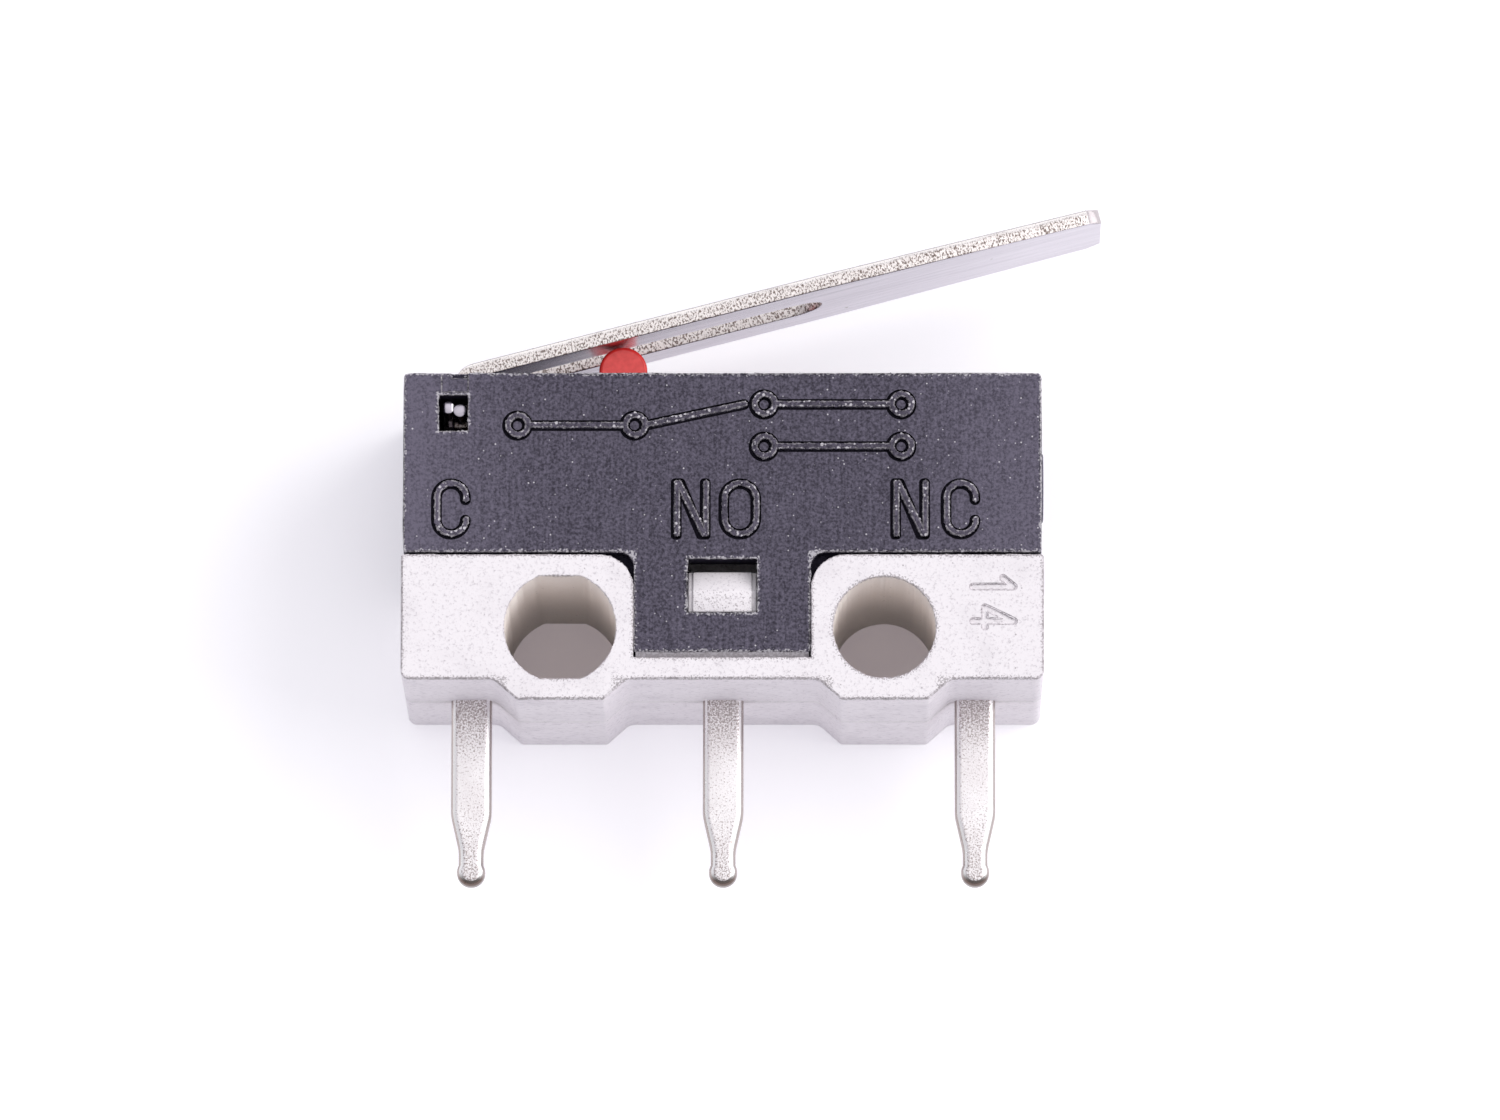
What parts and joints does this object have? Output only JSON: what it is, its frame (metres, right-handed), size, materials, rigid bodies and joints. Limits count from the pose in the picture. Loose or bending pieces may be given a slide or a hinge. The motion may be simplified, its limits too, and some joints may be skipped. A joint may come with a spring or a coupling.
{
  "type": "micro switch with hinged lever",
  "caption": "Ultra-subminiature snap-action switch with a hinged metal lever, a red plunger, a latched black cover, a white base with mounting holes, and straight pins for a circuit board.",
  "frame": {"origin": "midway between the two mounting holes, on the back face of the case", "axes": "+X along the case from the lever's pivot towards its tip, +Y towards the lever, +Z out of the front face"},
  "size_m": [0.0141, 0.0138, 0.0058],
  "materials": {
    "white_plastic": "matte moulded thermoplastic",
    "black_plastic": "fine spark-textured moulded thermoplastic",
    "red_plastic": "smooth moulded thermoplastic",
    "stainless_sheet": "bright rolled stainless sheet with sheared edges",
    "plated_terminal": "silvery matte plating on copper alloy",
    "silver_contact": "silver alloy",
    "copper_spring": "rolled copper-alloy spring strip"
  },
  "bodies": {
    "case": {"base": "white_plastic", "cover": "black_plastic", "common_terminal": "plated_terminal", "no_terminal": "plated_terminal", "nc_terminal": "plated_terminal", "no_contact": "silver_contact", "nc_contact": "silver_contact"},
    "lever": {"lever": "stainless_sheet"},
    "plunger": {"plunger": "red_plastic"},
    "blade": {"snap_blade": "copper_spring", "moving_contact": "silver_contact"}
  },
  "joints": [
    {"name": "lever_pivot", "type": "hinge", "parent": "case", "child": "lever", "pos_m": [-0.00528, 0.00448, 0.0029], "axis": [0, 0, -1], "range_deg": [0, 12.5], "stiffness_Nm_per_rad": 0.00005, "springref_deg": -22.92, "deforming": ["snap_blade"]},
    {"name": "plunger_slide", "type": "slide", "parent": "case", "child": "plunger", "axis": [0, -1, 0], "range_m": [0, 0.00075]},
    {"name": "blade_snap", "type": "hinge", "parent": "case", "child": "blade", "pos_m": [-0.00512, 0.00275, 0.0029], "axis": [0, 0, -1], "range_deg": [0, 2]}
  ],
  "couplings": [
    {"joint": "plunger_slide", "follows": "lever_pivot", "m_per_rad": 0.003376},
    {"joint": "blade_snap", "follows": "lever_pivot", "ratio": 0.1531}
  ]
}
